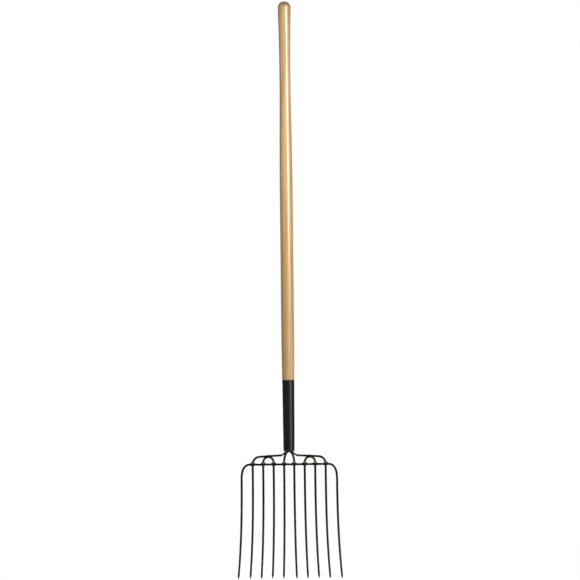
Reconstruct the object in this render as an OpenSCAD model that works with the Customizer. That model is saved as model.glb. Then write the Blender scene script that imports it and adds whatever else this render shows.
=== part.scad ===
// Manure fork: a turned ash handle, a steel ferrule and a head of ten bent and welded bars.
// Millimetres, +Z towards the butt, -Y towards the hollow side of the tines, +X to the right.
// The origin is on the handle's axis, at the middle of the straight stretch that the hands hold.

/* [Handle] */
// Length of the handle, from the butt to its end inside the ferrule
handle_l = 1219; // [1150:1:1600]
// Diameter of the butt
butt_d = 34.7; // [32:0.1:42]
// Height of the dome on the end of the butt
butt_dome_h = 13.2; // [6:0.1:15]
// Distance from the butt's end to where the handle starts to narrow
butt_l = 27; // [20:1:60]
// Diameter at the waist
waist_d = 29.7; // [26:0.1:34]
// Distance from the butt's end to the waist
waist_from_butt = 245; // [150:1:350]
// Diameter of the straight stretch
grip_d = 35; // [32:0.1:42]
// Distance from the butt's end to the straight stretch
grip_from_butt = 541; // [420:1:650]
// Length of the taper between the straight stretch and the ferrule
taper_l = 108.8; // [60:0.1:200]

/* [Ferrule] */
// Length of the ferrule
ferrule_l = 196; // [140:1:240]
// Outside diameter at the upper edge, flush with the wood
ferrule_top_d = 33; // [29:0.1:36]
// Outside diameter above the lip
ferrule_bottom_d = 30.4; // [27:0.1:34]
// Thickness of the ferrule's wall
ferrule_wall = 1.5; // [1:0.1:2.5]
// Bevel round the upper edge
ferrule_bevel = 0.5; // [0.2:0.1:0.9]
// Outer radius of the lip that is rolled in at the lower end
lip_r = 7.5; // [5:0.1:9]
// Angle through which the lip is rolled in
lip_turn = 60; // [40:1:65]

/* [Tang] */
// Length of the spike above its collar
tang_l = 150; // [90:1:170]
// Diameter of the spike at its collar
tang_root_d = 13; // [10:0.1:16]
// Diameter of the spike at its point
tang_tip_d = 7; // [6:0.1:9]
// Length of the blunt point
tang_point_l = 6; // [3:0.5:12]

/* [Ferrule pin] */
// Diameter of the pin
pin_d = 4.5; // [3:0.1:5]
// Diameter of the pin's domed head, on the back of the ferrule
pin_head_d = 8; // [6:0.1:11]
// Height of the head
pin_head_h = 1.4; // [1:0.1:2.5]
// Height of the pin above the ferrule's lower edge
pin_height = 62; // [40:1:100]
// How far the pin runs past the tang, into the wood
pin_past_tang = 3; // [1:0.5:5]

/* [Bars] */
// Width of the oval bars, seen from the front
bar_w = 6.1; // [4:0.1:7]
// Thickness of the oval bars, front to back
bar_t = 6.4; // [5:0.1:9]

/* [Frame of the head] */
// Distance between the two middle tines
centre_gap = 27.4; // [24:0.1:34]
// Distance between neighbouring tines
tine_pitch = 28.5; // [24:0.1:34]
// Distance from the outermost tines to their neighbours
bow_gap = 30.5; // [24:0.1:36]
// Drop from the ferrule's lower edge to the middle of the crossbar
crossbar_drop = 33.2; // [30:0.1:42]
// How far a corner of the outer bow reaches along the crossbar
bow_bend_w = 24.5; // [16:0.5:28]
// How far a corner of the outer bow reaches down the outermost tine
bow_bend_h = 41; // [20:0.5:60]
// Drop from the ferrule's lower edge to the corner of the shoulder
shoulder_drop = 13.4; // [10:0.1:17]
// Bend radius of the shoulder
shoulder_bend_r = 20; // [14:0.5:24]
// Slope of the shoulder's run
shoulder_tilt = 3.3; // [1:0.1:6]
// Bend radius where the shoulder turns up to the root
root_bend_r = 14; // [9:0.5:16]
// Place on the middle arch where the shoulder starts, as an angle from the crown
root_angle = 33; // [28:1:38]
// Width of the thinned end of the shoulder
scarf_w = 3.4; // [2.5:0.1:4]
// Length over which that end is thinned
scarf_l = 12; // [6:0.5:18]
// Height of the middle arch's crown above the ferrule's lower edge
crown_rise = 1.8; // [0.5:0.1:2.5]
// Height of the middle arch
centre_arch_h = 30.2; // [24:0.1:32]
// Height of the side arches
side_arch_h = 15; // [10:0.1:17]
// Step from the shoulder's run down to the crowns of the side arches
crown_step = 2.2; // [0.5:0.1:3.5]

/* [Tines] */
// Length of the tines below the crossbar, along the handle's axis
tine_l = 308; // [240:1:360]
// Straight stretch below the crossbar, before the tines sweep forward
tine_straight = 12; // [8:1:20]
// Forward sweep of the points
dish = 62; // [30:1:90]
// Outward spread of the middle tines at their points
spread_inner = 4.1; // [0:0.1:10]
// Outward spread of the outermost tines at their points
spread_outer = 11.2; // [0:0.1:20]
// Width of a tine just above its point
tip_w = 5.9; // [3.5:0.1:6.5]
// Thickness of a tine just above its point
tip_t = 6; // [4:0.1:7]
// Length of the point
point_l = 9; // [6:0.5:24]
// Diameter of the blunted end of the point
point_d = 3; // [1:0.1:4]

/* [Welds] */
// Width of a crossbar weld
pad_w = 14; // [10:0.1:16]
// Height of a crossbar weld above the middle of the crossbar
pad_up = 9.5; // [7:0.1:12]
// Depth of a crossbar weld below the middle of the crossbar
pad_down = 5.5; // [4.5:0.1:8]
// Radius of the weld beads
bead_r = 1.4; // [1:0.1:1.8]
// Length of the bead on each side crown
crown_bead_l = 10; // [6:0.5:14]
// Height of that bead above the shoulder's run
crown_bead_rise = 1; // [0.2:0.1:1.5]

/* [Fits] */
// Gap between a weld and the bars that it joins
weld_gap = 0.05; // [0.02:0.01:0.1]
// Gap between the handle and the inside of the ferrule
ferrule_fit = 0.12; // [0.05:0.01:0.3]
// Gap between the tang and its bore
tang_fit = 0.15; // [0.05:0.01:0.3]
// Depth of the bore beyond the tang's point
tang_end_gap = 4; // [1:0.5:10]
// Gap round the ferrule pin
pin_fit = 0.08; // [0.05:0.01:0.2]
// Gap between the handle's end and the start of the rolled lip
lip_gap = 0.3; // [0.1:0.1:1]
// Gap between the tang's collar and the lip
collar_gap = 0.4; // [0.2:0.1:1]

/* [Hidden] */
$fn = 64;
bar_sides = 12;
bead_sides = 10;
bead_turn = [23, 41, 67];
curve_steps = 14;
arch_steps = 16;
bend_steps = 7;
tine_steps = 11;
point_steps = 3;
tine_count = 10;
spread_power = 2.6;
corner_power = 0.8;

// Heights of the handle and the ferrule, with the straight stretch as what the rest leaves
lip_drop = lip_r * sin(lip_turn);
grip_l = handle_l + lip_gap + lip_drop - ferrule_l - taper_l - grip_from_butt;
butt_z = grip_from_butt + grip_l / 2;
handle_end_z = butt_z - handle_l;
lip_z = handle_end_z - lip_gap;
edge_z = lip_z - lip_drop;
mouth_z = edge_z + ferrule_l;
lip_centre_r = ferrule_bottom_d / 2 - lip_r;
pin_z = edge_z + pin_height;
collar_r = lip_centre_r + (lip_r - ferrule_wall) * cos(lip_turn) - collar_gap;

// Heights and places of the head
bar_z = edge_z - crossbar_drop;
tip_z = bar_z - tine_l;
sweep_z = bar_z - tine_straight;
sweep_l = tine_l - tine_straight;
sweep_r = (sweep_l * sweep_l + dish * dish) / (2 * dish);
shoulder_z = edge_z - shoulder_drop;
middle_crown_z = edge_z + crown_rise;
bar_y = -bar_t - weld_gap;
brace_y = bar_t * sqrt(1 - pow(crown_step / bar_w, 2)) + weld_gap;
inner_x = centre_gap / 2;
brace_x = inner_x + 3 * tine_pitch;
bow_x = brace_x + bow_gap;
hairpin_x = inner_x + 1.5 * tine_pitch;
middle_arch = [inner_x, centre_arch_h];
side_arch = [tine_pitch / 2, side_arch_h];

wood = [0.80, 0.65, 0.44];
black_paint = [0.13, 0.13, 0.12];
weld_grey = [0.30, 0.30, 0.29];
steel = [0.55, 0.55, 0.53];

welded_tines = [for (i = [2 : tine_count - 1]) i];

// Small helpers

function lerp(a, b, t) = a + (b - a) * t;
function clamp(t) = min(1, max(0, t));
function ease(t) = let (c = clamp(t)) c * c * (3 - 2 * c);
function unit(v) = v / norm(v);

// Points that round the corner at v, between p and q, with an arc of radius r
function bend(p, v, q, r) =
    let (a = unit(p - v), b = unit(q - v), half = acos(a * b) / 2, turn = 180 - 2 * half)
    let (centre = v + unit(a + b) * r / sin(half))
    let (start = v + a * r / tan(half) - centre, finish = v + b * r / tan(half) - centre)
    [
        for (i = [0 : bend_steps])
            let (t = i / bend_steps)
            centre + (start * sin(turn * (1 - t)) + finish * sin(turn * t)) / sin(turn)
    ];

// Point on a dome of radius r whose top is at a height, at an angle from its axis
function dome_point(r, a, top) = [r * sin(a), top - r * (1 - cos(a))];

// Handle and ferrule outlines, as [radius, height]

function from_butt(s) = butt_z - s;
function ferrule_r(z) =
    lerp(ferrule_bottom_d, ferrule_top_d, (z - lip_z) / (mouth_z - lip_z)) / 2;
function socket_r(z) = ferrule_r(z) - ferrule_wall - ferrule_fit;
spike_end_z = lip_z + tang_l;
function tang_r(z) = lerp(tang_root_d, tang_tip_d, (z - lip_z) / (tang_l - tang_point_l)) / 2;

// The tang's spike from its collar up, or with a gap its bore
function spike_outline(gap, end_gap) = [
    [tang_root_d / 2 + gap, lip_z],
    [tang_tip_d / 2 + gap, spike_end_z - tang_point_l],
    [tang_tip_d / 4 + gap, spike_end_z + end_gap],
    [0, spike_end_z + end_gap]
];

butt_r = butt_d / 2;
dome_r = (butt_r * butt_r + butt_dome_h * butt_dome_h) / (2 * butt_dome_h);
dome_angle = asin(butt_r / dome_r);
dome_outline = [
    for (i = [0 : curve_steps])
        dome_point(dome_r, dome_angle * i / curve_steps, butt_z)
];
neck_outline = [
    for (i = [0 : curve_steps])
        let (t = i / curve_steps)
        [lerp(waist_d, butt_d, pow(1 - t, 2.5)) / 2, from_butt(lerp(butt_l, waist_from_butt, t))]
];
swell_outline = [
    for (i = [1 : curve_steps])
        let (t = i / curve_steps)
        [lerp(waist_d, grip_d, ease(pow(t, 0.65))) / 2, from_butt(lerp(waist_from_butt, grip_from_butt, t))]
];
taper_outline = [
    for (i = [0 : bend_steps])
        let (t = i / bend_steps)
        [lerp(grip_d, ferrule_top_d, ease(t)) / 2, lerp(-grip_l / 2, mouth_z, t)]
];
socket_outline = [
    [socket_r(mouth_z), mouth_z],
    [socket_r(handle_end_z), handle_end_z],
    [0, handle_end_z]
];

function lip_arc(r, from, to) = [
    for (i = [0 : bend_steps])
        let (a = lerp(from, to, i / bend_steps))
        [lip_centre_r + r * cos(a), lip_z - r * sin(a)]
];

// Bars of the head. Each is laid out flat as [x, y, z] points, then formed.

// Share of the forward sweep that lies above a height: 0 at its start, 1 at the point
function swept(z) = max(0, (sweep_z - z) / sweep_l);
function spread(x) = lerp(spread_inner, spread_outer, (abs(x) - inner_x) / (bow_x - inner_x));

// Sweeps the tines forward on an arc, spreads them and lines up their points
function form(p) =
    let (s = swept(p[2]), d = s * sweep_l)
    [
        p[0] + sign(p[0]) * spread(p[0]) * pow(s, spread_power),
        p[1] * (1 - ease(s)) - sweep_r + sqrt(sweep_r * sweep_r - d * d),
        p[2]
    ];

// Size of a bar across one way: full above the crossbar, tapering below it, then pointed
function bar_size(full, tip, z) =
    let (tapered = lerp(full, tip, clamp((bar_z - z) / (tine_l - point_l))))
    lerp(tapered, point_d, pow(clamp((tip_z + point_l - z) / point_l), 1.4));

// Heights of the rings down a tine, below z
function tine_heights(z) = concat(
    [for (i = [1 : tine_steps]) lerp(z, tip_z + point_l, i / tine_steps)],
    [for (i = [1 : point_steps]) tip_z + point_l * (1 - i / point_steps)]
);
function tine(x, y, z) = [for (h = tine_heights(z)) [x, y, h]];
function reversed(list) = [for (i = [len(list) - 1 : -1 : 0]) list[i]];

// A pair of tines made from one bar that is bent over in a half-elliptic arch
function arch_point(x, crown_z, arch, a) =
    [x + arch[0] * sin(a), 0, crown_z - arch[1] * (1 - cos(a))];
function hairpin_path(x, crown_z, arch) =
    let (ends = [for (s = [-1, 1]) [[x + s * arch[0], 0, sweep_z]]])
    concat(
        reversed(tine(x - arch[0], 0, sweep_z)),
        ends[0],
        [for (i = [0 : arch_steps]) arch_point(x, crown_z, arch, lerp(-90, 90, i / arch_steps))],
        ends[1],
        tine(x + arch[0], 0, sweep_z)
    );

// The outermost tines and the crossbar, bent from one bar, with corners a little fuller than an ellipse
bow_corner = [
    for (i = [0 : curve_steps])
        let (a = 90 * i / curve_steps)
        let (x = 1 - pow(sin(a), corner_power), z = 1 - pow(cos(a), corner_power))
        [bow_x - bow_bend_w * x, bar_y, bar_z - bow_bend_h * z]
];
bow_half = concat(bow_corner, tine(bow_x, bar_y, bar_z - bow_bend_h));
crossings = [for (i = welded_tines) [tine_x(i), bar_y, bar_z]];
bow_path = concat([for (p = reversed(bow_half)) [-p[0], p[1], p[2]]], crossings, bow_half);

// A shoulder that runs from the root behind a side arch and turns down into a tine
root_slope = atan2(centre_arch_h * sin(root_angle), inner_x * cos(root_angle));
root_out = [sin(root_slope), cos(root_slope)];
root_along = [cos(root_slope), -sin(root_slope)];
root_on_arch = arch_point(0, middle_crown_z, middle_arch, root_angle);
root_start = [root_on_arch[0], root_on_arch[2]] + root_out * (bar_w + scarf_w + bead_r / 4) / 2;
shoulder_corner = [brace_x, shoulder_z];
function run_z(x) = shoulder_z + (brace_x - x) * tan(shoulder_tilt);
root_fall = sin(root_slope) - cos(root_slope) * tan(shoulder_tilt);
root_reach = (root_start[1] - run_z(root_start[0])) / root_fall;
root_corner = root_start + root_along * root_reach;
function behind(x) =
    brace_y * ease((x - root_start[0]) / (hairpin_x - tine_pitch / 2 - root_start[0]))
        * ease((brace_x - x) / tine_pitch);
brace_bends = concat(
    bend(root_start, root_corner, shoulder_corner, root_bend_r),
    [for (t = [-0.5, -0.25, 0, 0.25]) let (x = hairpin_x + t * tine_pitch) [x, run_z(x)]],
    bend(root_corner, shoulder_corner, [brace_x, tip_z], shoulder_bend_r)
);
brace_flat = concat([root_start], brace_bends);
brace_top = concat([for (p = brace_flat) [p[0], behind(p[0]), p[1]]], [[brace_x, 0, sweep_z]]);
function brace_path(side) =
    [for (p = concat(brace_top, tine(brace_x, 0, sweep_z))) [side * p[0], p[1], p[2]]];

// Formed rings of a bar, as [centre, width, thickness]
function bar_rings(path, grow = 0) = [
    for (p = path)
        [form(p), bar_size(bar_w, tip_w, p[2]) + 2 * grow, bar_size(bar_t, tip_t, p[2]) + 2 * grow]
];
function brace_rings(path, grow = 0) =
    let (rings = bar_rings(path, grow), thinned = bar_w - scarf_w)
    [
        for (i = [0 : len(path) - 1])
            let (left = 1 - ease((abs(path[i][0]) - root_start[0]) / scarf_l))
            [rings[i][0], rings[i][1] - thinned * left, rings[i][2]]
    ];

// Bars and legs by number, counted from the left
function tine_x(i) =
    let (half = tine_count / 2, side = i > half ? 1 : -1, n = side > 0 ? i - half : half + 1 - i)
    side * (n == half ? bow_x : inner_x + (n - 1) * tine_pitch);
left_hairpin_path = hairpin_path(-hairpin_x, run_z(hairpin_x) - crown_step, side_arch);
centre_hairpin_path = hairpin_path(0, middle_crown_z, middle_arch);
right_hairpin_path = hairpin_path(hairpin_x, run_z(hairpin_x) - crown_step, side_arch);
function path_of_tine(i) =
    i == 2 ? brace_path(-1) : i < 5 ? left_hairpin_path : i < 7 ? centre_hairpin_path
        : i < 9 ? right_hairpin_path : brace_path(1);

// The stretch of a bar that lies within reach of x and above a height
function near(path, x, reach, z) = [for (p = path) if (abs(p[0] - x) < reach && p[2] > z) p];

// Carries an oval along the rings; its long way stays as near to Y as the bar allows
module bar(rings) {
    last = len(rings) - 1;
    function leg(i) = unit(rings[i + 1][0] - rings[i][0]);
    function along(i) = i == 0 ? leg(0) : i == last ? leg(last - 1) : unit(leg(i) + leg(i - 1));
    points = [
        for (i = [0 : last])
            let (t = along(i), b = unit([0, 1, 0] - t[1] * t), n = cross(b, t))
            for (k = [0 : bar_sides - 1])
                let (a = 360 * k / bar_sides)
                rings[i][0] + n * cos(a) * rings[i][1] / 2 + b * sin(a) * rings[i][2] / 2
    ];
    sides = [
        for (i = [0 : last - 1], k = [0 : bar_sides - 1])
            let (a = i * bar_sides + k, b = i * bar_sides + (k + 1) % bar_sides)
            for (f = [[a, a + bar_sides, b + bar_sides], [a, b + bar_sides, b]]) f
    ];
    first_end = [for (k = [0 : bar_sides - 1]) k];
    last_end = [for (k = [bar_sides - 1 : -1 : 0]) last * bar_sides + k];
    polyhedron(points, concat([first_end], sides, [last_end]));
}

// A lump round a set of points, each turned from the last
module bead(points, r) {
    hull()
        for (i = [0 : len(points) - 1])
            translate(points[i])
                rotate(bead_turn * (i + 1))
                    sphere(r, $fn = bead_sides);
}

// Both members of a pair of points, mirrored about x
function pair(x, dx, y, z) = [[x - dx, y, z], [x + dx, y, z]];

// Shank of the ferrule pin, or with a gap its hole, which runs out past the back of the ferrule
module pin_shank(gap) {
    reach = tang_r(pin_z) + pin_past_tang + gap;
    outer_end = ferrule_r(pin_z) + (gap > 0 ? pin_d : pin_head_h / 2);
    translate([0, -reach, pin_z])
        rotate([-90, 0, 0])
            cylinder(h = reach + outer_end, d = pin_d + 2 * gap);
}

module handle() {
    color(wood)
        difference() {
            rotate_extrude()
                polygon(concat(dome_outline, neck_outline, swell_outline, taper_outline, socket_outline));
            rotate_extrude()
                polygon(concat([[0, lip_z]], spike_outline(tang_fit, tang_end_gap)));
            pin_shank(pin_fit);
        }
}

module ferrule() {
    inner_top = ferrule_r(mouth_z) - ferrule_wall;
    color(black_paint)
        difference() {
            rotate_extrude()
                polygon(concat(
                    [[inner_top, mouth_z], [ferrule_r(mouth_z) - ferrule_bevel, mouth_z]],
                    [[ferrule_r(mouth_z - ferrule_bevel), mouth_z - ferrule_bevel]],
                    lip_arc(lip_r, 0, lip_turn),
                    lip_arc(lip_r - ferrule_wall, lip_turn, 0)
                ));
            pin_shank(pin_fit);
        }
}

module tang() {
    collar_z = middle_crown_z + bar_w / 2 + weld_gap;
    collar_outline = [[0, collar_z], [collar_r, collar_z], [collar_r, lip_z]];
    color(steel)
        difference() {
            rotate_extrude()
                polygon(concat(collar_outline, spike_outline(0, 0)));
            pin_shank(pin_fit);
        }
}

// The pin's head is a low dome, hollowed to the curve of the ferrule
module ferrule_pin() {
    seat = ferrule_r(pin_z);
    head_r = pin_head_d / 2;
    dome = (head_r * head_r + pin_head_h * pin_head_h) / (2 * pin_head_h);
    turn = asin(head_r / dome);
    foot = seat - head_r;
    outline = concat(
        [[0, foot], [head_r, foot]],
        [for (i = [bend_steps : -1 : 0]) dome_point(dome, turn * i / bend_steps, seat + pin_head_h)]
    );
    low = pin_z - pin_head_d;
    high = pin_z + pin_head_d;
    color(steel) {
        pin_shank(0);
        difference() {
            translate([0, 0, pin_z])
                rotate([-90, 0, 0])
                    rotate_extrude()
                        polygon(outline);
            translate([0, 0, low])
                cylinder(high - low, ferrule_r(low) + pin_fit, ferrule_r(high) + pin_fit);
        }
    }
}

module outer_bow() {
    color(black_paint)
        bar(bar_rings(bow_path));
}

module brace_tine(side) {
    color(black_paint)
        bar(brace_rings(brace_path(side)));
}

module hairpin(path) {
    color(black_paint)
        bar(bar_rings(path));
}

// Weld between the end of a shoulder, the middle arch and the tang's collar
module root_weld(side) {
    x = side * root_start[0];
    low_z = shoulder_z - bar_w;
    groove = [
        for (a = [root_angle - 12, root_angle, root_angle + 14], y = [-1, 1])
            let (p = arch_point(0, middle_crown_z, middle_arch, side * a))
            let (slope = atan2(centre_arch_h * sin(a), inner_x * cos(a)), out = bar_w / 2 + bead_r / 5)
            p + [side * sin(slope) * out, y * (bar_t / 2 - bead_r) / 2, cos(slope) * out]
    ];
    color(weld_grey)
        difference() {
            bead(groove, bead_r);
            bar(bar_rings(near(centre_hairpin_path, x, inner_x, low_z), weld_gap));
            bar(brace_rings(near(brace_path(side), x, inner_x, low_z), weld_gap));
        }
}

// Beads above and below the crown of a side arch, where the shoulder passes behind it
module crown_weld(side, path) {
    x = side * hairpin_x;
    top_z = run_z(hairpin_x) + bar_w / 2 + crown_bead_rise - bead_r;
    under_z = run_z(hairpin_x) - crown_step / 2 - bar_w / 2;
    reach = crown_bead_l / 2 - bead_r;
    saddle = pair(x, reach, brace_y / 4, top_z - bead_r / 2);
    ridge = pair(x, reach / 3, brace_y / 3, top_z);
    color(weld_grey)
        difference() {
            union() {
                bead(concat(saddle, ridge), bead_r);
                bead(pair(x, reach / 2, brace_y / 2, under_z), bead_r);
            }
            bar(bar_rings(near(path, x, tine_pitch * 0.45, bar_z), weld_gap));
            bar(brace_rings(near(brace_path(side), x, tine_pitch * 0.45, bar_z), weld_gap));
        }
}

// Three-cornered pads above and below the crossbar, in front of a tine
module crossbar_weld(i) {
    x = tine_x(i);
    front = bar_y + bar_t / 4;
    face = -bar_t / 2;
    edge = bar_w / 2;
    foot = pad_w / 2 - bead_r;
    low_z = sweep_z - 2 * tine_l / tine_steps;
    upper = concat(
        pair(x, foot, front, bar_z + edge),
        pair(x, edge + bead_r / 2, face / 5, bar_z + edge + bead_r),
        [[x, face, bar_z + pad_up - bead_r]]
    );
    lower = concat(
        pair(x, foot * 2 / 3, front, bar_z - edge),
        pair(x, edge + bead_r / 3, face / 5, bar_z - edge - bead_r / 2),
        [[x, face, bar_z - pad_down + bead_r]]
    );
    beside = 1.2 * max(tine_pitch, centre_gap);
    color(weld_grey)
        difference() {
            union() {
                bead(upper, bead_r);
                bead(lower, bead_r);
            }
            bar(bar_rings(near(path_of_tine(i), x, tine_pitch / 3, low_z), weld_gap));
            bar(bar_rings(near(bow_path, x, beside, bar_z - pad_w), weld_gap));
        }
}

handle();
ferrule();
tang();
ferrule_pin();
outer_bow();
brace_tine(-1);  // left_brace_tine
brace_tine(1);  // right_brace_tine
hairpin(left_hairpin_path);  // left_hairpin
hairpin(centre_hairpin_path);  // centre_hairpin
hairpin(right_hairpin_path);  // right_hairpin
root_weld(-1);  // left_root_weld
root_weld(1);  // right_root_weld
crown_weld(-1, left_hairpin_path);  // left_crown_weld
crown_weld(1, right_hairpin_path);  // right_crown_weld
for (i = welded_tines)
    crossbar_weld(i);
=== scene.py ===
"""Manure fork: smooth surfaces, finishes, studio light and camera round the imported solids."""
import math

import bpy
import numpy as np
from mathutils import Matrix, Vector


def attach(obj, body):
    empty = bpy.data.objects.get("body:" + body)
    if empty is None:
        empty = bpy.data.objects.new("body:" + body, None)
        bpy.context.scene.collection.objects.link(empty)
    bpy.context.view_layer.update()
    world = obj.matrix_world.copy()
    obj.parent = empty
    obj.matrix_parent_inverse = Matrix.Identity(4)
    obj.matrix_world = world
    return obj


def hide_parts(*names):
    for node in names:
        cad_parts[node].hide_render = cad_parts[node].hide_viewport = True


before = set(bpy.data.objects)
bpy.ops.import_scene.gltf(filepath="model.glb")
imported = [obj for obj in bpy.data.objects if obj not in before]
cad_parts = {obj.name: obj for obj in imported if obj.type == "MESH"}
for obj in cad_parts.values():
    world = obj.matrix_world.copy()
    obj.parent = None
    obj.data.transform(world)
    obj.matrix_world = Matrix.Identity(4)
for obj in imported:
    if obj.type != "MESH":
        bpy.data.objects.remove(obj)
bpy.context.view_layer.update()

# Sizes in millimetres, as in the part's source
MM = 0.001
HANDLE_L, BUTT_D, BUTT_DOME_H, BUTT_L, EDGE_R = 1219.0, 34.7, 13.2, 27.0, 13.0
WAIST_D, WAIST_FROM_BUTT = 29.7, 245.0
GRIP_D, GRIP_FROM_BUTT, TAPER_L = 35.0, 541.0, 108.8
FERRULE_L, FERRULE_TOP_D, FERRULE_BOTTOM_D, FERRULE_WALL = 196.0, 33.0, 30.4, 1.5
FERRULE_BEVEL, LIP_R, LIP_TURN, LIP_GAP, FERRULE_FIT = 0.5, 7.5, math.radians(60), 0.3, 0.12
TANG_L, TANG_ROOT_D, TANG_TIP_D, TANG_POINT_L, TANG_FIT, TANG_END_GAP = 150.0, 13.0, 7.0, 6.0, 0.15, 4.0
PIN_D, PIN_HEAD_D, PIN_HEAD_H, PIN_HEIGHT, PIN_PAST_TANG = 4.5, 8.0, 1.4, 62.0, 3.0
BAR_W, BAR_T = 6.1, 6.4
CENTRE_GAP, TINE_PITCH, BOW_GAP = 27.4, 28.5, 30.5
CROSSBAR_DROP, BOW_BEND_W, BOW_BEND_H, CORNER_POWER = 33.2, 24.5, 41.0, 0.8
SHOULDER_DROP, SHOULDER_BEND_R, SHOULDER_TILT = 13.4, 20.0, math.radians(3.3)
ROOT_BEND_R, ROOT_ANGLE, SCARF_W, SCARF_L = 14.0, math.radians(33), 3.4, 12.0
CROWN_RISE, CENTRE_ARCH_H, SIDE_ARCH_H, CROWN_STEP = 1.8, 30.2, 15.0, 2.2
TINE_L, TINE_STRAIGHT, DISH = 308.0, 12.0, 62.0
SPREAD_INNER, SPREAD_OUTER, SPREAD_POWER = 4.1, 11.2, 2.6
TIP_W, TIP_T, POINT_L, POINT_D = 5.9, 6.0, 9.0, 3.0
PAD_W, PAD_UP, PAD_DOWN, BEAD_R = 14.0, 9.5, 5.5, 1.4
CROWN_BEAD_L, CROWN_BEAD_RISE, WELD_GAP = 10.0, 1.0, 0.05

# Heights and places that follow from the sizes
LIP_DROP = LIP_R * math.sin(LIP_TURN)
GRIP_L = HANDLE_L + LIP_GAP + LIP_DROP - FERRULE_L - TAPER_L - GRIP_FROM_BUTT
BUTT_Z = GRIP_FROM_BUTT + GRIP_L / 2
HANDLE_END_Z = BUTT_Z - HANDLE_L
LIP_Z = HANDLE_END_Z - LIP_GAP
EDGE_Z = LIP_Z - LIP_DROP
MOUTH_Z = EDGE_Z + FERRULE_L
LIP_CENTRE_R = FERRULE_BOTTOM_D / 2 - LIP_R
PIN_Z = EDGE_Z + PIN_HEIGHT
BAR_Z = EDGE_Z - CROSSBAR_DROP
TIP_Z = BAR_Z - TINE_L
SWEEP_Z = BAR_Z - TINE_STRAIGHT
SWEEP_L = TINE_L - TINE_STRAIGHT
SWEEP_R = (SWEEP_L ** 2 + DISH ** 2) / (2 * DISH)
SHOULDER_Z = EDGE_Z - SHOULDER_DROP
MIDDLE_CROWN_Z = EDGE_Z + CROWN_RISE
BAR_Y = -BAR_T - WELD_GAP
BRACE_Y = BAR_T * math.sqrt(1 - (CROWN_STEP / BAR_W) ** 2) + WELD_GAP
INNER_X = CENTRE_GAP / 2
BRACE_X = INNER_X + 3 * TINE_PITCH
BOW_X = BRACE_X + BOW_GAP
HAIRPIN_X = INNER_X + 1.5 * TINE_PITCH
TINE_X = {n + 6: INNER_X + n * TINE_PITCH for n in range(4)}
TINE_X.update({5 - n: -INNER_X - n * TINE_PITCH for n in range(4)})

# Detail that only the scene has
STAINED_TINES = (2, 4, 5, 8)
ROUND_SIDES, BAR_SIDES = 96, 28
LUMP_ROWS, LUMP_SIDES = 46, 60
EDGE_REACH, DOME_STOP = 9.0, 0.14
NECK_POWER, SWELL_POWER, POINT_POWER = 2.5, 0.65, 1.4
HANDLE_UNEVEN, OVAL_TWIST, WAVE_L = 0.12, 310.0, 173.0
BAR_UNEVEN, SCARF_ROUND, PIN_SINK = 0.02, 1.2, 0.5
RIPPLE_PITCH, RIPPLE_SHARE, SWELL_SHARE = 1.9, 0.06, 0.07


def lerp(a, b, t):
    return a + (b - a) * t


def ease(t):
    """Smooth step from 0 to 1: 3 t squared less 2 t cubed."""
    t = np.clip(t, 0, 1)
    return t * t * (3 - 2 * t)


def waver(s, period, start):
    """Slow unevenness between 0 and 1 along s: three sines whose periods have no common multiple."""
    a = 2 * np.pi * np.asarray(s, float) / period + start
    return 0.5 + (np.sin(a) + 0.6 * np.sin(1.618 * a + 2 * start) + 0.4 * np.sin(2.718 * a - start)) / 4


# Meshes

def skin(points, loop=False, first=None, last=None):
    """Faces over a grid of rings: each ring closes on itself, the rings close on each other if loop is set,
    and first and last are the pole points that close the two ends."""
    rows, cols = points.shape[:2]
    ids = np.arange(rows * cols).reshape(rows, cols)
    top, low = (ids, np.roll(ids, -1, 0)) if loop else (ids[:-1], ids[1:])
    faces = np.stack([top, low, np.roll(low, -1, 1), np.roll(top, -1, 1)], -1).reshape(-1, 4).tolist()
    verts = points.reshape(-1, 3)
    for pole, ring in ((first, np.roll(ids[0], -1)), (last, ids[-1, ::-1])):
        if pole is not None:
            fan = np.stack([np.full(cols, len(verts)), np.roll(ring, 1), ring], -1)
            verts = np.vstack([verts, pole])
            faces += fan.tolist()
    return verts, faces


def enclosed(verts, faces):
    """Volume: the sum over triangles of their corners' triple product, to tell inside from outside."""
    total = 0.0
    for count in (3, 4):
        f = np.array([face for face in faces if len(face) == count])
        for k in range(count - 2 if len(f) else 0):
            a, b, c = verts[f[:, 0]], verts[f[:, k + 1]], verts[f[:, k + 2]]
            total += np.einsum("ij,ij->i", a, np.cross(b, c)).sum() / 6
    return total


def piece(name, node, slot, material, *skins):
    """One object from one or more closed skins in millimetres, put in the frame in place of a node."""
    verts, faces, base = [], [], 0
    for points, quads in skins:
        if enclosed(points, quads) < 0:
            quads = [face[::-1] for face in quads]
        faces += [[i + base for i in face] for face in quads]
        verts.append(points)
        base += len(points)
    mesh = bpy.data.meshes.new(name)
    mesh.from_pydata((np.vstack(verts) * MM).tolist(), [], faces)
    mesh.polygons.foreach_set("use_smooth", np.ones(len(faces), bool))
    mesh.materials.append(material)
    mesh.update()
    made = bpy.data.objects.new(name, mesh)
    bpy.context.scene.collection.objects.link(made)
    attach(made, "root")
    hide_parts(node)
    return made


# Handle, ferrule and pin

def turned(outline, uneven=0.0):
    """Surface of revolution round Z: every point (r, z) of the outline goes round at r less an unevenness
    that changes slowly with the angle and the height."""
    angle = np.linspace(0, 2 * np.pi, ROUND_SIDES, endpoint=False)
    r, z = outline[:, :1], outline[:, 1:]
    oval = 0.5 + 0.5 * np.cos(2 * angle + z / OVAL_TWIST)
    r = r - uneven * np.minimum(1, r / 5) * (0.6 * oval + 0.4 * waver(z, WAVE_L, 1.3))
    return np.stack([r * np.cos(angle), r * np.sin(angle), np.broadcast_to(z, r.shape)], -1)


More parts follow.
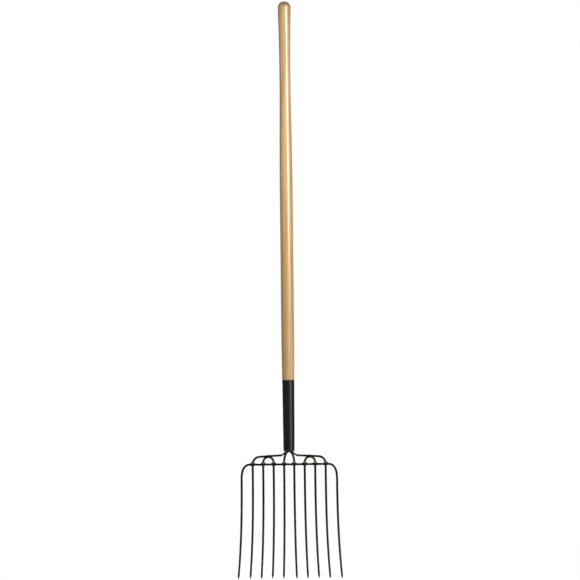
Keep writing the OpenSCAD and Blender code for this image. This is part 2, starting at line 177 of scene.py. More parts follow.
def rows(*stretches):
    """Joins stretches of outline given as pairs of radius and height arrays."""
    return np.concatenate([np.stack(np.broadcast_arrays(r, z), -1) for r, z in stretches])


def ferrule_r(z):
    return lerp(FERRULE_BOTTOM_D, FERRULE_TOP_D, (z - LIP_Z) / (MOUTH_Z - LIP_Z)) / 2


def handle_skin():
    """Outline of the handle from the butt down: a spherical dome with an eased edge, a straight butt, a neck
    that narrows with a power of the way down, an eased swell, the straight stretch, an eased taper, the
    socket end and the tang's bore."""
    butt_r = BUTT_D / 2
    dome_r = (butt_r ** 2 + BUTT_DOME_H ** 2) / (2 * BUTT_DOME_H)
    rim = math.asin(butt_r / dome_r)
    a = np.linspace(0.02, rim - DOME_STOP, 26)
    rim_z = BUTT_Z - BUTT_DOME_H
    above = [butt_r - EDGE_REACH * math.cos(rim), rim_z + EDGE_REACH * math.sin(rim)]
    edge = rounded(above, [butt_r, rim_z], [butt_r, rim_z - EDGE_REACH], EDGE_R)
    t = np.linspace(0, 1, 90)
    neck_z = BUTT_Z - lerp(BUTT_L, WAIST_FROM_BUTT, t)
    swell_z = BUTT_Z - lerp(WAIST_FROM_BUTT, GRIP_FROM_BUTT, t[1:])
    grip_low = -GRIP_L / 2
    taper_z = np.linspace(grip_low, MOUTH_Z, 50)
    socket_z = np.linspace(MOUTH_Z, HANDLE_END_Z, 40)
    bore_top = LIP_Z + TANG_L + TANG_END_GAP
    bore_z = np.array([HANDLE_END_Z, LIP_Z + TANG_L - TANG_POINT_L, bore_top])
    bore_r = np.array([TANG_ROOT_D / 2, TANG_TIP_D / 2, TANG_TIP_D / 4]) + TANG_FIT
    outline = rows(
        (dome_r * np.sin(a), BUTT_Z - dome_r * (1 - np.cos(a))),
        (edge[:, 0], edge[:, 1]),
        (butt_r, BUTT_Z - np.linspace(BUTT_DOME_H + 3, BUTT_L - 1, 8)),
        (lerp(WAIST_D, BUTT_D, (1 - t) ** NECK_POWER) / 2, neck_z),
        (lerp(WAIST_D, GRIP_D, ease(t[1:] ** SWELL_POWER)) / 2, swell_z),
        (GRIP_D / 2, np.linspace(GRIP_L / 2 - 3, grip_low + 3, 110)),
        (lerp(GRIP_D, FERRULE_TOP_D, ease((grip_low - taper_z) / TAPER_L)) / 2, taper_z),
        (ferrule_r(socket_z) - FERRULE_WALL - FERRULE_FIT, socket_z),
        (bore_r, bore_z),
    )
    return skin(turned(outline, HANDLE_UNEVEN), first=[0, 0, BUTT_Z], last=[0, 0, bore_top])


def ferrule_skin():
    """Closed outline of the ferrule: rounded upper edge, tapered wall, lip rolled in on an arc and rounded at
    its end, and the same back up inside."""
    half = FERRULE_WALL / 2
    end_turn = LIP_TURN - half / (LIP_R - half)
    corner = np.linspace(np.pi / 2, 0, 8)
    roll = np.linspace(0, end_turn, 26)
    nose = np.linspace(0, np.pi, 14)[1:-1]
    wall_z = np.linspace(MOUTH_Z - FERRULE_BEVEL, LIP_Z, 60)[1:-1]
    inner_r = LIP_R - FERRULE_WALL
    nose_r = LIP_CENTRE_R + (LIP_R - half) * math.cos(end_turn)
    nose_z = LIP_Z - (LIP_R - half) * math.sin(end_turn)
    edge_r = ferrule_r(MOUTH_Z) - FERRULE_BEVEL
    outline = rows(
        (edge_r + FERRULE_BEVEL * np.cos(corner), MOUTH_Z - FERRULE_BEVEL + FERRULE_BEVEL * np.sin(corner)),
        (ferrule_r(wall_z), wall_z),
        (LIP_CENTRE_R + LIP_R * np.cos(roll), LIP_Z - LIP_R * np.sin(roll)),
        (nose_r + half * np.cos(end_turn + nose), nose_z - half * np.sin(end_turn + nose)),
        (LIP_CENTRE_R + inner_r * np.cos(roll[::-1]), LIP_Z - inner_r * np.sin(roll[::-1])),
        (ferrule_r(wall_z[::-1]) - FERRULE_WALL, wall_z[::-1]),
        (ferrule_r(MOUTH_Z) - FERRULE_WALL + np.array([0, 0.1]), MOUTH_Z - np.array([0.3, 0])),
    )
    return skin(turned(outline), loop=True)


def pin_skin():
    """Outline of the pin turned round Y at the ferrule's back: a low spherical head with a rounded rim, its
    foot sunk to the ferrule's curve, and the shank."""
    seat, head_r = ferrule_r(PIN_Z), PIN_HEAD_D / 2
    dome_r = (head_r ** 2 + PIN_HEAD_H ** 2) / (2 * PIN_HEAD_H)
    a = np.linspace(0.05, math.asin(head_r / dome_r) * 0.93, 16)
    reach = lerp(TANG_ROOT_D, TANG_TIP_D, (PIN_Z - LIP_Z) / (TANG_L - TANG_POINT_L)) / 2 + PIN_PAST_TANG
    outline = rows(
        (dome_r * np.sin(a), seat + PIN_HEAD_H - dome_r * (1 - np.cos(a))),
        (np.array([head_r - 0.04, head_r, head_r]), seat + np.array([0.05, -0.1, -PIN_SINK])),
        (PIN_D / 2, np.array([seat - PIN_SINK, -reach])),
    )
    laid = turned(outline)[..., [0, 2, 1]] + [0, 0, PIN_Z]
    return skin(laid, first=[0, seat + PIN_HEAD_H, PIN_Z], last=[0, -reach, PIN_Z])


# Bars of the head

def form(path):
    """Sweeps points below the straight stretch forward on an arc, spreads them with a power of the share of
    the sweep, and lines up the points of all tines in depth."""
    x, y, z = path.T
    s = np.maximum(0, (SWEEP_Z - z) / SWEEP_L)
    spread = lerp(SPREAD_INNER, SPREAD_OUTER, (np.abs(x) - INNER_X) / (BOW_X - INNER_X))
    forward = SWEEP_R - np.sqrt(SWEEP_R ** 2 - (s * SWEEP_L) ** 2)
    return np.stack([x + np.sign(x) * spread * s ** SPREAD_POWER, y * (1 - ease(s)) - forward, z], -1)


def tip_x(number):
    return form(np.array([[TINE_X[number], 0, TIP_Z]]))[0, 0]


def bar_size(full, tip, z):
    """Width or thickness at a height: full above the crossbar, a straight taper to the tip, then a point that
    narrows with a power of the way down and ends in a half circle."""
    tapered = lerp(full, tip, np.clip((BAR_Z - z) / (TINE_L - POINT_L), 0, 1))
    pointed = lerp(tapered, POINT_D, np.clip((TIP_Z + POINT_L - z) / POINT_L, 0, 1) ** POINT_POWER)
    return pointed * np.sqrt(1 - np.clip((TIP_Z + POINT_D / 2 - z) / (POINT_D / 2), 0, 1) ** 2)


def tine_heights(z):
    """Heights down a tine below z: even to the point, closer over it and closest at its rounded end."""
    body = np.linspace(z, TIP_Z + POINT_L, 170)[1:]
    point = np.linspace(TIP_Z + POINT_L, TIP_Z + POINT_D / 2, 24)[1:]
    end = TIP_Z + POINT_D / 2 * (1 - np.sin(np.linspace(0, np.pi / 2 * 0.97, 11)[1:]))
    return np.concatenate([body, point, end])


def tine(x, y, z):
    h = tine_heights(z)
    return np.stack([np.full_like(h, x), np.full_like(h, y), h], -1)


def run(p, q, step=1.5):
    """Even points on the straight line between p and q, both left out."""
    p, q = np.asarray(p, float), np.asarray(q, float)
    count = max(2, int(np.linalg.norm(q - p) / step))
    return p + (q - p) * np.linspace(0, 1, count + 1)[1:-1, None]


def rounded(p, v, q, r):
    """Arc of radius r that rounds the corner at v between p and q, by the sine-weighted mean of its end
    radii."""
    p, v, q = (np.asarray(k, float) for k in (p, v, q))
    a, b = ((k - v) / np.linalg.norm(k - v) for k in (p, q))
    half = math.acos(a @ b) / 2
    turn = math.pi - 2 * half
    centre = v + (a + b) / np.linalg.norm(a + b) * r / math.sin(half)
    start, finish = v + a * r / math.tan(half) - centre, v + b * r / math.tan(half) - centre
    t = np.linspace(0, 1, 26)[:, None]
    return centre + (start * np.sin(turn * (1 - t)) + finish * np.sin(turn * t)) / math.sin(turn)


def oval_bar(path, start, narrowed=0.0):
    """Carries an oval along a formed path: its long way stays as near to Y as the bar allows, its size
    follows the height, and it is a little uneven along its length, always inwards."""
    z = path[:, 2]
    centre = form(path)
    along = np.gradient(centre, axis=0)
    along /= np.linalg.norm(along, axis=1)[:, None]
    deep = np.array([0, 1.0, 0]) - along[:, 1:2] * along
    deep /= np.linalg.norm(deep, axis=1)[:, None]
    wide = np.cross(deep, along)
    s = np.concatenate([[0], np.cumsum(np.linalg.norm(np.diff(centre, axis=0), axis=1))])
    w = (bar_size(BAR_W, TIP_W, z) - narrowed) * (1 - BAR_UNEVEN * waver(s, 37, start))
    t = bar_size(BAR_T, TIP_T, z) * (1 - BAR_UNEVEN * waver(s, 29, start + 1))
    if np.ndim(narrowed):
        end = np.sqrt(1 - np.clip(1 - s / SCARF_ROUND, 0, 0.995) ** 2)
        w, t = w * end, t * end
    a = np.linspace(0, 2 * np.pi, BAR_SIDES, endpoint=False)
    points = centre[:, None] + wide[:, None] * (w[:, None] / 2 * np.cos(a))[..., None]
    points = points + deep[:, None] * (t[:, None] / 2 * np.sin(a))[..., None]
    return skin(points, first=centre[0], last=centre[-1])


def arch_point(x, crown_z, wide, tall, a):
    return np.stack([x + wide * np.sin(a), 0 * a, crown_z - tall * (1 - np.cos(a))], -1)


def hairpin_path(x, crown_z, wide, tall):
    """A tine, a half-elliptic arch and a tine, from one bar."""
    arch = arch_point(x, crown_z, wide, tall, np.linspace(-np.pi / 2, np.pi / 2, 90))
    right = np.vstack([run(arch[-1], [x + wide, 0, SWEEP_Z]), tine(x + wide, 0, SWEEP_Z + 1)])
    left = right - [2 * wide, 0, 0]
    return np.vstack([left[::-1], arch, right])


def bow_path():
    """Outermost tine, corner, crossbar, corner and outermost tine, from one bar. A corner is a little fuller
    than an ellipse: its sine and cosine are raised to a power below 1."""
    a = np.linspace(0, np.pi / 2, 40)
    x = BOW_X - BOW_BEND_W * (1 - np.sin(a) ** CORNER_POWER)
    z = BAR_Z - BOW_BEND_H * (1 - np.abs(np.cos(a)) ** CORNER_POWER)
    corner = np.stack([x, np.full_like(a, BAR_Y), z], -1)
    half = np.vstack([corner, tine(BOW_X, BAR_Y, BAR_Z - BOW_BEND_H)])
    mirrored = half[::-1] * [-1, 1, 1]
    return np.vstack([mirrored, run(mirrored[-1], half[0]), half])


def run_z(x):
    return SHOULDER_Z + (BRACE_X - x) * math.tan(SHOULDER_TILT)


ROOT_SLOPE = math.atan2(CENTRE_ARCH_H * math.sin(ROOT_ANGLE), INNER_X * math.cos(ROOT_ANGLE))
ROOT_ON_ARCH = arch_point(0, MIDDLE_CROWN_Z, INNER_X, CENTRE_ARCH_H, np.array(ROOT_ANGLE))[[0, 2]]
ROOT_OUT = np.array([math.sin(ROOT_SLOPE), math.cos(ROOT_SLOPE)])
ROOT_ALONG = np.array([math.cos(ROOT_SLOPE), -math.sin(ROOT_SLOPE)])
ROOT_START = ROOT_ON_ARCH + ROOT_OUT * (BAR_W + SCARF_W + BEAD_R / 4) / 2


def shoulder_path(side):
    """From the root down its slope, round a bend, along the tilted run behind the side arch, round the
    shoulder and down as a tine; the run steps back in depth with an eased step at both ends."""
    fall = math.sin(ROOT_SLOPE) - math.cos(ROOT_SLOPE) * math.tan(SHOULDER_TILT)
    corner = ROOT_START + ROOT_ALONG * (ROOT_START[1] - run_z(ROOT_START[0])) / fall
    shoulder = np.array([BRACE_X, SHOULDER_Z])
    root_bend = rounded(ROOT_START, corner, shoulder, ROOT_BEND_R)
    bend = rounded(corner, shoulder, [BRACE_X, TIP_Z], SHOULDER_BEND_R)
    start = ROOT_START + ROOT_ALONG * np.array([[0], [0.05], [0.15], [0.35], [0.65], [1.0]])
    flat = np.vstack([start, run(start[-1], root_bend[0], 1), root_bend, run(root_bend[-1], bend[0]), bend])
    x = flat[:, 0]
    step = TINE_PITCH / 2
    behind = BRACE_Y * ease((x - ROOT_START[0]) / (HAIRPIN_X - step - ROOT_START[0]))
    behind = behind * ease((BRACE_X - x) / TINE_PITCH)
    top = np.stack([x, behind, flat[:, 1]], -1)
    path = np.vstack([top, run(top[-1], [BRACE_X, 0, SWEEP_Z]), tine(BRACE_X, 0, SWEEP_Z + 1)])
    narrowed = (BAR_W - SCARF_W) * (1 - ease((path[:, 0] - ROOT_START[0]) / SCARF_L))
    return path * [side, 1, 1], narrowed


# Welds

def lump(corners, r, start, grip=1.1):
    """A smooth lump round some corner points. For each direction the corners are averaged, each by e to the
    power of how far it reaches that way, and the surface lies r beyond that mean, with a shallow ripple
    along X and Z."""
    corners = np.asarray(corners, float)
    polar = np.linspace(0, np.pi, LUMP_ROWS)[1:-1, None]
    turn = np.linspace(0, 2 * np.pi, LUMP_SIDES, endpoint=False)
    n = np.stack([np.sin(polar) * np.cos(turn), np.sin(polar) * np.sin(turn), np.cos(polar) + 0 * turn], -1)
    n = np.concatenate([[[[0, 0, 1.0]] * LUMP_SIDES], n, [[[0, 0, -1.0]] * LUMP_SIDES]])
    reach = grip * (n @ corners.T)
    share = np.exp(reach - reach.max(-1, keepdims=True))
    mean = (share / share.sum(-1, keepdims=True)) @ corners
    ripple = np.sin(2 * np.pi * (mean[..., 0] + 0.4 * mean[..., 2]) / RIPPLE_PITCH + start)
    swell = np.sin(1.7 * n[..., 0] + 2.3 * n[..., 2] + 1.3 * start)
    points = mean + n * (r * (1 + RIPPLE_SHARE * ripple + SWELL_SHARE * swell))[..., None]
    return skin(points[1:-1], first=points[0, 0], last=points[-1, 0])


def pair(x, dx, y, z):
    return [[x - dx, y, z], [x + dx, y, z]]


def crossbar_lumps(number):
    """Three-cornered pads above and below the crossbar, in front of a tine."""
    x = TINE_X[number]
    front, face, edge = BAR_Y + BAR_T / 4, -BAR_T / 2, BAR_W / 2
    foot = PAD_W / 2 - BEAD_R
    upper = pair(x, foot, front, BAR_Z + edge) + pair(x, edge + BEAD_R / 2, face / 5, BAR_Z + edge + BEAD_R)
    upper += [[x, face, BAR_Z + PAD_UP - BEAD_R]]
    lower = pair(x, foot * 2 / 3, front, BAR_Z - edge)
    lower += pair(x, edge + BEAD_R / 3, face / 5, BAR_Z - edge - BEAD_R / 2)
    lower += [[x, face, BAR_Z - PAD_DOWN + BEAD_R]]
    return lump(upper, BEAD_R, number), lump(lower, BEAD_R, number + 0.5)


def crown_lumps(side):
    """Beads above and below the crown of a side arch, where the shoulder passes behind it."""
    x = side * HAIRPIN_X
    top_z = run_z(HAIRPIN_X) + BAR_W / 2 + CROWN_BEAD_RISE - BEAD_R
    under_z = run_z(HAIRPIN_X) - CROWN_STEP / 2 - BAR_W / 2
    reach = CROWN_BEAD_L / 2 - BEAD_R
    upper = pair(x, reach, BRACE_Y / 4, top_z - BEAD_R / 2) + pair(x, reach / 3, BRACE_Y / 3, top_z)
    return lump(upper, BEAD_R, side), lump(pair(x, reach / 2, BRACE_Y / 2, under_z), BEAD_R, side + 0.7)


def root_lump(side):
    """Bead in the groove between the middle arch and the end of a shoulder."""
    groove = []
    for turn in (-12, 0, 14):
        a = ROOT_ANGLE + math.radians(turn)
        slope = math.atan2(CENTRE_ARCH_H * math.sin(a), INNER_X * math.cos(a))
        p = arch_point(0, MIDDLE_CROWN_Z, INNER_X, CENTRE_ARCH_H, np.array(side * a))
        out = BAR_W / 2 + BEAD_R / 5
        deep = (BAR_T / 2 - BEAD_R) / 2
        for y in (-deep, deep):
            groove.append(p + [side * math.sin(slope) * out, y, math.cos(slope) * out])
    return lump(groove, BEAD_R, 2 * side)


# Finishes

class Wire:
    """A socket of a shader tree. Arithmetic on it adds Math nodes, and make adds any other node."""

    def __init__(self, tree, socket=None):
        self.tree, self.socket = tree, socket

    def make(self, kind, settings=None, sockets=None, out=0):
        """Adds a node: its settings first, then its sockets' values or links."""
        node = self.tree.nodes.new(kind)
        for name, value in (settings or {}).items():
            setattr(node, name, value)
        for name, value in (sockets or {}).items():
            if isinstance(value, Wire):
                self.tree.links.new(value.socket, node.inputs[name])
            else:
                node.inputs[name].default_value = value
        return Wire(self.tree, node.outputs[out])

    def out(self, name):
        return Wire(self.tree, self.socket.node.outputs[name])

    def math(self, operation, *values):
        return self.make("ShaderNodeMath", {"operation": operation}, dict(enumerate(values)))

    def __add__(self, other):
        return self.math("ADD", self, other)

    def __sub__(self, other):
        return self.math("SUBTRACT", self, other)

    def __rsub__(self, other):
        return self.math("SUBTRACT", other, self)

    def __mul__(self, other):
        return self.math("MULTIPLY", self, other)

    def __truediv__(self, other):
        return self.math("DIVIDE", self, other)

    def __pow__(self, other):
        return self.math("POWER", self, other)

    __radd__, __rmul__ = __add__, __mul__

    def step(self, low, high):
        """Smooth step of this value from 0 at low to 1 at high."""
        sockets = {"Value": self, "From Min": low, "From Max": high}
        return self.make("ShaderNodeMapRange", {"interpolation_type": "SMOOTHSTEP"}, sockets)

    def blend(self, a, b):
        """Colour a where this value is 0, colour b where it is 1."""
        return self.make("ShaderNodeMix", {"data_type": "RGBA"}, {0: self, 6: a, 7: b}, 2)

    def noise(self, stretch, detail=3.0, roughness=0.5):
        """Noise on this vector, with the given number of cells in a metre along X, Y and Z."""
        scaled = self.make("ShaderNodeVectorMath", {"operation": "MULTIPLY"}, {0: self, 1: stretch})
        sockets = {"Vector": scaled, "Scale": 1.0, "Detail": detail, "Roughness": roughness}
        return self.make("ShaderNodeTexNoise", None, sockets)


def tint(red, green, blue):
    return (red, green, blue, 1.0)


def finish(name, paint):
    """A material whose paint function gets the object's coordinates and returns the varying sockets of a
    Principled shader, a bump height with its depth in metres, and the sockets that stay constant."""
    material = bpy.data.materials.new(name)
    material.use_nodes = True
    tree = material.node_tree
    shader = tree.nodes["Principled BSDF"]
    coords = Wire(tree).make("ShaderNodeTexCoord", out="Object")
    varying, height, depth, constant = paint(coords)
    bump = coords.make("ShaderNodeBump", None, {"Strength": 1.0, "Distance": depth, "Height": height})
    for socket, value in {**varying, "Normal": bump}.items():
        tree.links.new(value.socket, shader.inputs[socket])
    for socket, value in constant.items():
        shader.inputs[socket].default_value = value
    return material


# Places and widths in the finishes, in metres
PITH_X, PITH_Y, LEAN_X, LEAN_Y = 0.052, -0.041, 0.006, 0.004
RING_W, WELD_RIPPLE = 0.0031, 0.0017
RUST_SPOT = (TINE_X[8] * MM - 0.0014, -0.0056, BAR_Z * MM + 0.0046)


def ash_wood(coords):
    """Growth rings round a pith beside the handle, with dark porous early wood, fibres and streaks along the
    handle, a darker butt dome that is partly end grain and partly painted shade on its upward faces, and
    lacquer that is worn thin where the hands slide."""
    place = coords.make("ShaderNodeSeparateXYZ", None, {0: coords})
    x, y, z = (place.out(axis) for axis in "XYZ")
    drift = coords.noise((9, 9, 1.7), 2)
    east, north = x - PITH_X + z * LEAN_X, y - PITH_Y - z * LEAN_Y
    rings = (east * east + north * north) ** 0.5 + (drift - 0.5) * 0.009
    share = coords.math("FRACT", rings / RING_W)
    early = (1 - share.step(0.05, 0.6)) * share.step(0.0, 0.05)
    fibre = coords.noise((760, 760, 9), 4, 0.6)
    pores = coords.noise((2300, 2300, 48), 2).step(0.56, 0.66) * early
    slow = coords.noise((21, 21, 2.3), 3)
    streak = coords.noise((210, 210, 3.2), 2, 0.5).step(0.44, 0.60)
    pale, tan, deep = tint(0.67, 0.45, 0.215), tint(0.44, 0.25, 0.082), tint(0.22, 0.115, 0.035)
    honey = tint(0.58, 0.365, 0.146)
    colour = slow.step(0.35, 0.7).blend(pale, honey)
    colour = (early * 0.35 + fibre.step(0.42, 0.75) * 0.2 + streak * 0.62).blend(colour, tan)
    colour = (pores * 0.62).blend(colour, deep)
    normal = coords.make("ShaderNodeNewGeometry", out="Normal")
    # Partly end grain, partly painted shade: faces that look upwards, the butt dome, are darkened as if
    # little light fell from above; the same mask makes the end grain rougher
    end_grain_and_shade = normal.make("ShaderNodeSeparateXYZ", None, {0: normal}, "Z").step(0.2, 0.75)
    colour = (end_grain_and_shade * 0.6).blend(colour, tint(0.24, 0.145, 0.06))
    rough = 0.36 + early * 0.08 + fibre * 0.08 + end_grain_and_shade * 0.15
    height = fibre * 0.5 - pores * 0.8 - early * 0.15
    lacquer = 0.20 + z.step(-0.2, 0.22) * 0.70 - z.step(0.38, 0.66) * 0.34
    constant = {"Coat Roughness": 0.2, "Specular IOR Level": 0.65}
    return {"Base Color": colour, "Roughness": rough, "Coat Weight": lacquer}, height, 0.00006, constant


def black_enamel(coords):
    """Satin enamel on a drawn tube: cloudy gloss, faint draw lines, dust specks and rubbed edges."""
    z = coords.make("ShaderNodeSeparateXYZ", None, {0: coords}, "Z")
    cloud = coords.noise((34, 34, 20), 4)
    draw = coords.noise((640, 640, 5), 3)
    specks = coords.noise((520, 520, 520), 2).step(0.70, 0.76)
    peel = coords.noise((380, 380, 300), 2)
    rubbed = z.step((MOUTH_Z - 1.6) * MM, (MOUTH_Z - 0.1) * MM) + 1 - z.step(EDGE_Z * MM, (EDGE_Z + 1.5) * MM)
    rubbed = rubbed * coords.noise((230, 230, 230), 4).step(0.36, 0.62)
    colour = cloud.step(0.3, 0.7).blend(tint(0.0076, 0.0076, 0.0076), tint(0.0122, 0.0121, 0.0119))
    colour = (specks * 0.5).blend(colour, tint(0.05, 0.048, 0.044))
    colour = (rubbed * 0.75).blend(colour, tint(0.095, 0.094, 0.086))
    rough = 0.16 + cloud * 0.08 + draw * 0.06 + specks * 0.12
    height = peel * 0.6 + draw * 0.35 + specks * 0.4
    return {"Base Color": colour, "Roughness": rough}, height, 0.00005, {"Specular IOR Level": 0.5}


def bar_enamel(coords):
    """Thin enamel on rolled bar: mottled and pitted, paler and warmer down the tines, partly as dust and
    partly as painted light that the forward-curving lower tines catch from above, rubbed at the points, some
    of which have a tan stain."""
    place = coords.make("ShaderNodeSeparateXYZ", None, {0: coords})
    x, z = place.out("X"), place.out("Z")
    mottle = coords.noise((90, 90, 45), 5, 0.6)
    pits = coords.noise((420, 420, 330), 5, 0.62)
    runs = coords.noise((300, 300, 14), 3)
    # Painted light with some dust: the lower tines get a paler, warmer colour that stands in for the light
    # they catch as they curve forward
    down = 1 - z.step((BAR_Z - 190) * MM, (BAR_Z - 70) * MM)
    scuff = mottle.step(0.52, 0.72) * pits.step(0.45, 0.62)
    soil = coords.noise((700, 700, 700), 4, 0.6)
    point = 1 - (z + (soil - 0.5) * 0.008).step((TIP_Z + 2) * MM, (TIP_Z + 9) * MM)
    beside = [coords.math("ABSOLUTE", x - tip_x(number) * MM) for number in STAINED_TINES]
    stained = sum(1 - gap.step(0.006, 0.009) for gap in beside)
    patch = soil.step(0.34, 0.48) * stained
    colour = mottle.step(0.3, 0.7).blend(tint(0.0048, 0.0045, 0.0031), tint(0.0110, 0.0103, 0.0071))
    # Painted light and dust on the lower tines
    colour = (down * 0.42).blend(colour, tint(0.034, 0.0318, 0.0212))
    colour = (scuff * 0.2).blend(colour, tint(0.06, 0.057, 0.046))
    colour = (point * 0.35).blend(colour, tint(0.16, 0.155, 0.14))
    dried = soil.step(0.44, 0.66).blend(tint(0.46, 0.27, 0.095), tint(0.72, 0.48, 0.21))
    colour = (point * patch * 0.9).blend(colour, dried)
    rough = 0.20 + mottle * 0.14 + scuff * 0.14
    height = pits * 0.8 + runs * 0.3
    varying = {"Base Color": colour, "Roughness": rough, "Metallic": point * (1 - patch) * 0.4}
    return varying, height, 0.00016, {"Specular IOR Level": 0.14}


def weld_enamel(coords):
    """Enamel over a weld, painted a paler grey than the bars as a painted sheen of its lit, sloping faces:
    cloudy, with uneven ripples laid across the bar and a painted highlight on their crests, with spatter
    grains, and a rust spot on the eighth tine's weld."""
    place = coords.make("ShaderNodeSeparateXYZ", None, {0: coords})
    cloud = coords.noise((330, 330, 330), 4, 0.6)
    grains = coords.noise((1100, 1100, 1100), 3)
    away = coords.make("ShaderNodeVectorMath", {"operation": "DISTANCE"}, {0: coords, 1: RUST_SPOT}, "Value")
    stain = 1 - (away + (cloud - 0.5) * 0.002).step(0.0012, 0.0026)
    bent = place.out("X") + place.out("Z") * 0.35 + (cloud - 0.5) * 0.0034
    crest = coords.math("SINE", bent * (2 * math.pi / WELD_RIPPLE)) * 0.5 + 0.5
    # Painted sheen and highlight: the weld is painted paler than the bar enamel as if its sloping faces
    # caught the light, varying in random clouds, and the ripple crests are lightened as a painted highlight
    light = crest * 0.3 + cloud.step(0.3, 0.7) * 0.7
    colour = light.blend(tint(0.024, 0.024, 0.022), tint(0.118, 0.117, 0.110))
    colour = (grains.step(0.58, 0.74) * 0.5).blend(colour, tint(0.16, 0.158, 0.150))
    colour = (stain * 0.9).blend(colour, tint(0.52, 0.33, 0.12))
    rough = 0.30 + cloud * 0.2
    height = crest * 0.5 + cloud * 0.5 + grains * 0.35
    return {"Base Color": colour, "Roughness": rough}, height, 0.00045, {"Specular IOR Level": 0.5}


def forged_steel(coords):
    """Dark forged steel: mill scale in patches over brighter, brushed metal."""
    scale = coords.noise((140, 140, 60), 5, 0.65)
    brush = coords.noise((1200, 1200, 40), 3)
    patch = scale.step(0.42, 0.6)
    colour = patch.blend(tint(0.32, 0.315, 0.30), tint(0.10, 0.098, 0.095))
    colour = (brush * 0.3).blend(colour, tint(0.42, 0.415, 0.40))
    rough = 0.34 + patch * 0.22 + brush * 0.1
    varying = {"Base Color": colour, "Roughness": rough, "Metallic": 1 - patch * 0.5}
    return varying, scale + brush * 0.3, 0.00012, {}


wood = finish("ash_wood", ash_wood)
ferrule_black = finish("ferrule_enamel", black_enamel)
bar_black = finish("bar_enamel", bar_enamel)
weld_grey = finish("weld_enamel", weld_enamel)
steel = finish("forged_steel", forged_steel)

# Pieces

piece("handle_wood", "handle", "ash_wood", wood, handle_skin())
piece("ferrule_tube", "ferrule", "ferrule_enamel", ferrule_black, ferrule_skin())
piece("ferrule_pin_steel", "ferrule_pin", "forged_steel", steel, pin_skin())
piece("outer_bow_bar", "outer_bow", "bar_enamel", bar_black, oval_bar(bow_path(), 0.4))
for side, word in ((-1, "left"), (1, "right")):
    path, narrowed = shoulder_path(side)
    brace = oval_bar(path, 1.1 * side, narrowed)
    piece(word + "_brace_bar", word + "_brace_tine", "bar_enamel", bar_black, brace)
    crown_z = run_z(HAIRPIN_X) - CROWN_STEP
    path = hairpin_path(side * HAIRPIN_X, crown_z, TINE_PITCH / 2, SIDE_ARCH_H)
    piece(word + "_hairpin_bar", word + "_hairpin", "bar_enamel", bar_black, oval_bar(path, 2.3 * side))
    piece(word + "_crown_bead", word + "_crown_weld", "weld_enamel", weld_grey, *crown_lumps(side))
    piece(word + "_root_bead", word + "_root_weld", "weld_enamel", weld_grey, root_lump(side))
path = hairpin_path(0, MIDDLE_CROWN_Z, INNER_X, CENTRE_ARCH_H)
piece("centre_hairpin_bar", "centre_hairpin", "bar_enamel", bar_black, oval_bar(path, 3.0))
for number in range(2, 10):
    node = "crossbar_weld_%d" % number
    piece("crossbar_bead_%d" % number, node, "weld_enamel", weld_grey, *crossbar_lumps(number))
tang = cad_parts["tang"].data.materials
tang.clear()
tang.append(steel)

# Floor and surroundings

scene = bpy.context.scene
scene.view_settings.view_transform = "Standard"
AMBIENT = 0.08
IN_REFLECTIONS = 0.03
FLOOR_SHADE = 0.5
FLOOR_LIT = 0.53
FLOOR_HALF = 40.0


def seen_directly(tree):
    """1 for camera rays, a share of that for glossy and transmission rays, 0 for rays that carry diffuse
    light."""
    path = Wire(tree).make("ShaderNodeLightPath", out="Is Camera Ray")
    mirrored = (path.out("Is Glossy Ray") + path.out("Is Transmission Ray")) * IN_REFLECTIONS
    return path.math("MAXIMUM", path, mirrored)


def floor_material():
    """A pale floor that the camera sees as white, darkened by the object's shadow near it."""
    material = bpy.data.materials.new("pale_floor")
    material.use_nodes = True
    tree = material.node_tree
    tree.nodes.clear()
    coords = Wire(tree).make("ShaderNodeTexCoord", out="Object")
    away = coords.make("ShaderNodeVectorMath", {"operation": "LENGTH"}, {0: coords}, "Value")
    shade = (1 - away.step(0.3, 1.6)) * FLOOR_SHADE
    matt = coords.make("ShaderNodeBsdfDiffuse", None, {"Color": tint(0.86, 0.86, 0.86)})
    level = (1 - shade * FLOOR_LIT) / (1 - shade)
    glow = coords.make("ShaderNodeEmission", None, {"Color": tint(1, 1, 1), "Strength": level})
    mixed = coords.make("ShaderNodeMixShader", None, {0: seen_directly(tree) * (1 - shade), 1: matt, 2: glow})
    output = tree.nodes.new("ShaderNodeOutputMaterial")
    tree.links.new(mixed.socket, output.inputs["Surface"])
    return material


def lay_floor():
    """A flat square just under the points of the tines."""
    z = TIP_Z * MM - 0.0002
    corners = [(sx * FLOOR_HALF, sy * FLOOR_HALF, 0) for sx, sy in ((-1, -1), (1, -1), (1, 1), (-1, 1))]
    mesh = bpy.data.meshes.new("floor")
    mesh.from_pydata(corners, [], [(0, 1, 2, 3)])
    mesh.materials.append(floor_material())
    floor = bpy.data.objects.new("floor", mesh)
    floor.location = (0, 0, z)
    scene.collection.objects.link(floor)


def light_surroundings():
    """White to the camera, dim in reflections, and a dim even light on the object."""
    world = bpy.data.worlds.new("studio")
    world.use_nodes = True
    tree = world.node_tree
    background = tree.nodes["Background"]
    background.inputs["Color"].default_value = tint(1, 1, 1)
    strength = AMBIENT + seen_directly(tree) * (1 - AMBIENT)
    tree.links.new(strength.socket, background.inputs["Strength"])
    scene.world = world


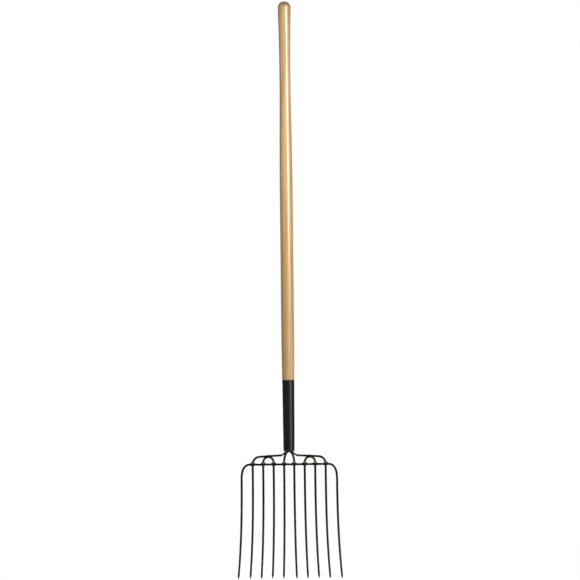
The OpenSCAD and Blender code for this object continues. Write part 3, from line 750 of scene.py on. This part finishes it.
def lamp(name, azimuth, distance, height, width, tall, radiance, diffuse=True, glossy=True, aim=None):
    """A flat rectangular lamp at an angle right of the camera, facing the handle's axis at its own height or
    at the height aim. It can be kept out of the diffuse light or out of the reflections."""
    light = bpy.data.lights.new(name, "AREA")
    light.shape = "RECTANGLE"
    light.size, light.size_y = width, tall
    light.energy = radiance * math.pi * width * tall
    lit = bpy.data.objects.new(name, light)
    a = math.radians(azimuth)
    lit.location = (math.sin(a) * distance, -math.cos(a) * distance, height)
    away = lit.location - Vector((0, 0, height if aim is None else aim))
    lit.rotation_euler = away.to_track_quat("Z", "Y").to_euler()
    lit.visible_camera, lit.visible_diffuse, lit.visible_glossy = False, diffuse, glossy
    scene.collection.objects.link(lit)


lay_floor()
light_surroundings()
lamp("key_box", 6, 1.3, 0.40, 0.8, 0.8, 9.3, glossy=False)
lamp("right_box", 65, 1.0, 0.25, 0.4, 0.4, 7.4, glossy=False)
lamp("side_panel", 48.5, 2.2, -0.45, 1.6, 0.8, 1.8, diffuse=False)
lamp("strip", 38, 2.2, 0.82, 0.5, 1.3, 24.0, diffuse=False)
lamp("strip_foot", 38, 2.2, 0.04, 0.5, 0.26, 6.0, diffuse=False)
lamp("back_box", 180, 2.0, 0.1, 0.5, 1.6, 19.0, glossy=False)
lamp("back_strip", 180, 2.2, 0.3, 0.3, 2.0, 8.0, diffuse=False)
lamp("top_box", 0, 0.02, 2.2, 0.6, 0.6, 4.0, glossy=False, aim=0.7)

# Camera

IMAGE_SIDE = 580
MM_PER_PIXEL = 2.72
CAMERA_DISTANCE = 20.0
ROLL = math.radians(0.63)
AXIS_X, EDGE_Y = 289.05, 452.0


def set_camera():
    """A long lens straight on. The pixel of the ferrule's lower edge on the axis fixes where it looks, and a
    small roll leans the handle's top to the left."""
    right, up = IMAGE_SIDE / 2 - AXIS_X, EDGE_Y - IMAGE_SIDE / 2
    x = (right * math.cos(ROLL) + up * math.sin(ROLL)) * MM_PER_PIXEL * MM
    z = (up * math.cos(ROLL) - right * math.sin(ROLL)) * MM_PER_PIXEL * MM + EDGE_Z * MM
    data = bpy.data.cameras.new("camera")
    data.sensor_fit, data.sensor_width = "HORIZONTAL", 36.0
    data.lens = data.sensor_width * CAMERA_DISTANCE / (IMAGE_SIDE * MM_PER_PIXEL * MM)
    data.clip_end = 200.0
    camera = bpy.data.objects.new("camera", data)
    turn = Matrix.Rotation(math.pi / 2, 4, "X") @ Matrix.Rotation(-ROLL, 4, "Z")
    camera.matrix_world = Matrix.Translation((x, -CAMERA_DISTANCE, z)) @ turn
    scene.collection.objects.link(camera)
    scene.camera = camera


set_camera()
